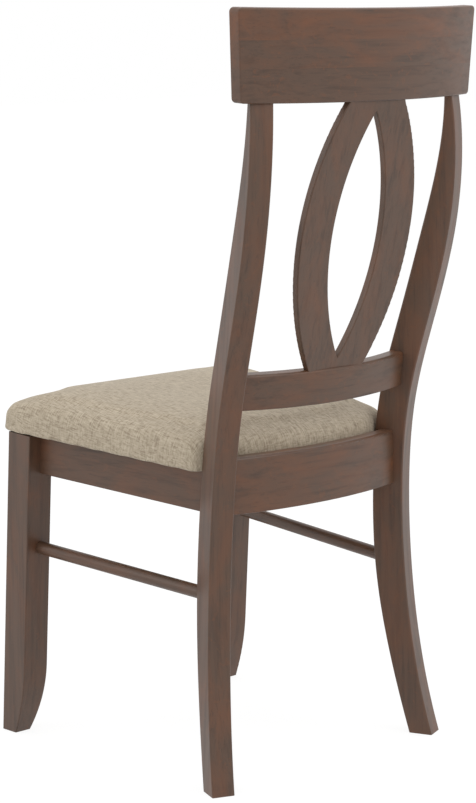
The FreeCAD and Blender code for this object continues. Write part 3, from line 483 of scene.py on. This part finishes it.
def swell(cushion, underside):
    """A short cloth simulation under pressure, with the underside pinned and the swell capped."""
    mesh = cushion.data
    before = [(vertex.co.copy(), vertex.normal.copy()) for vertex in mesh.vertices]
    pinned = cushion.vertex_groups.new(name="underside")
    held = [vertex.index for vertex in mesh.vertices if vertex.co.z < underside + VOXEL]
    pinned.add(held, 1.0, "REPLACE")
    cloth = cushion.modifiers.new("swell", "CLOTH")
    cloth.settings.vertex_group_mass = "underside"
    cloth.settings.use_pressure = True
    cloth.settings.uniform_pressure_force = PRESSURE
    cloth.settings.effector_weights.gravity = 0
    cloth.point_cache.frame_end = SIM_FRAMES
    scene = bpy.context.scene
    for step in range(1, SIM_FRAMES + 1):
        scene.frame_set(step)
    apply(cushion, cloth)
    scene.frame_set(1)
    for vertex, (old, outwards) in zip(cushion.data.vertices, before):
        swollen = (vertex.co - old).dot(outwards)
        vertex.co = old + outwards * min(max(swollen, 0), MOST_SWELL)


def soften(cushion, underside):
    """Round the form, but keep the edge that lies on the rails, and make the mesh finer."""
    free = cushion.vertex_groups.new(name="free")
    loose = [v.index for v in cushion.data.vertices if v.co.z > underside + VOXEL]
    free.add(loose, 1.0, "REPLACE")
    smooth = cushion.modifiers.new("soften", "SMOOTH")
    smooth.factor = 0.5
    smooth.iterations = 4
    smooth.vertex_group = "free"
    apply(cushion, smooth)
    finer = cushion.modifiers.new("finer", "SUBSURF")
    finer.levels = 1
    finer.render_levels = 1
    apply(cushion, finer)


def lay_weave(cushion):
    """A weave map in metres: flat on top, and running on down the sides without a break."""
    mesh = cushion.data
    mesh.update()
    normals = [vertex.normal for vertex in mesh.vertices]
    flat = []
    top = max(vertex.co.z for vertex in mesh.vertices)
    shoulder = top - SHOULDER
    for vertex, normal in zip(mesh.vertices, normals):
        point = vertex.co
        drop = max(shoulder - point.z, 0)
        total = abs(normal.x) + abs(normal.y) + 1e-6
        flat.append(
            (
                point.x + math.copysign(drop * abs(normal.x) / total, point.x),
                point.y + math.copysign(drop * abs(normal.y) / total, normal.y),
            )
        )
    weave = mesh.uv_layers.new(name=WEAVE)
    for loop in mesh.loops:
        weave.data[loop.index].uv = flat[loop.vertex_index]


# Floor, lights and camera
FLOOR_SIZE = 30
FLOOR_DROP = 0.0005
AMBIENT = 0.67
FLOOR_WHITE = 0.8
BACKDROP_GLOW = 1.125
CHAIR_MIDDLE = (0, 0, 0.5)
# Each light's place, size in metres and power in watts
LIGHTS = {
    "key": ((-1.2, 3.4, 3.2), 2.6, 42),
    "fill": ((3.6, -1.6, 2.2), 2.8, 30),
    "top": ((0.0, -0.4, 3.8), 2.4, 26),
}


def seen_rays(tree):
    """1 for the rays of the camera, of reflections and through glass, and 0 for all others."""
    path = add(tree, "ShaderNodeLightPath").outputs
    seen = maths(tree, "MAXIMUM", path["Is Camera Ray"], path["Is Glossy Ray"])
    return maths(tree, "MAXIMUM", seen, path["Is Transmission Ray"])


def backdrop_white(tree, lit_shader, strength_seen):
    """Mix a lit surface with plain white for the rays that the camera and reflections see."""
    share = maths(tree, "MULTIPLY", seen_rays(tree), strength_seen)
    white = add(tree, "ShaderNodeEmission", {"Color": (1, 1, 1, 1), "Strength": BACKDROP_GLOW})
    return add(tree, "ShaderNodeMixShader", {0: share, 1: lit_shader, 2: white.outputs[0]})


def make_floor():
    bpy.ops.object.select_all(action="DESELECT")
    bpy.ops.mesh.primitive_plane_add(size=FLOOR_SIZE, location=(0, 0, -FLOOR_DROP))
    floor = bpy.context.active_object
    floor.name = "floor"
    material, tree, shader = new_material("pale_floor")
    shader.inputs["Base Color"].default_value = (0.8, 0.8, 0.8, 1)
    shader.inputs["Roughness"].default_value = 0.9
    shader.inputs["Specular IOR Level"].default_value = 0.1
    output = next(node for node in tree.nodes if node.type == "OUTPUT_MATERIAL")
    mixed = backdrop_white(tree, shader.outputs["BSDF"], FLOOR_WHITE)
    tree.links.new(mixed.outputs[0], output.inputs["Surface"])
    floor.data.materials.append(material)


def make_world():
    world = bpy.data.worlds.new("studio")
    bpy.context.scene.world = world
    world.use_nodes = True
    tree = world.node_tree
    back = next(node for node in tree.nodes if node.type == "BACKGROUND")
    extra = maths(tree, "MULTIPLY", seen_rays(tree), 1 - AMBIENT)
    strength = maths(tree, "ADD", extra, AMBIENT)
    back.inputs["Color"].default_value = (1, 1, 1, 1)
    tree.links.new(strength, back.inputs["Strength"])


def aim(thing, target):
    thing.rotation_euler = (Vector(target) - thing.location).to_track_quat("-Z", "Y").to_euler()


def area_light(name, place, size, power):
    data = bpy.data.lights.new(name, "AREA")
    data.shape = "SQUARE"
    data.size = size
    data.energy = power
    light = bpy.data.objects.new(name, data)
    light.location = place
    bpy.context.scene.collection.objects.link(light)
    aim(light, CHAIR_MIDDLE)


def make_lights():
    for name, (place, size, power) in LIGHTS.items():
        area_light(name, place, size, power)


def make_camera():
    data = bpy.data.cameras.new("camera")
    data.sensor_fit = "VERTICAL"
    data.sensor_width = FILM_WIDTH
    data.sensor_height = FILM_WIDTH
    data.lens = FOCAL_PIXELS / PICTURE_HEIGHT * FILM_WIDTH
    data.clip_end = 60
    camera = bpy.data.objects.new("camera", data)
    camera.location = CAMERA_PLACE
    camera.rotation_euler = Euler((math.pi / 2 - CAMERA_PITCH, 0, math.pi - CAMERA_TURN), "XYZ")
    bpy.context.scene.collection.objects.link(camera)
    bpy.context.scene.camera = camera


finish_frame()
finish_inside()
make_cushion()
make_floor()
make_world()
make_lights()
make_camera()
bpy.context.scene.view_settings.view_transform = "Standard"
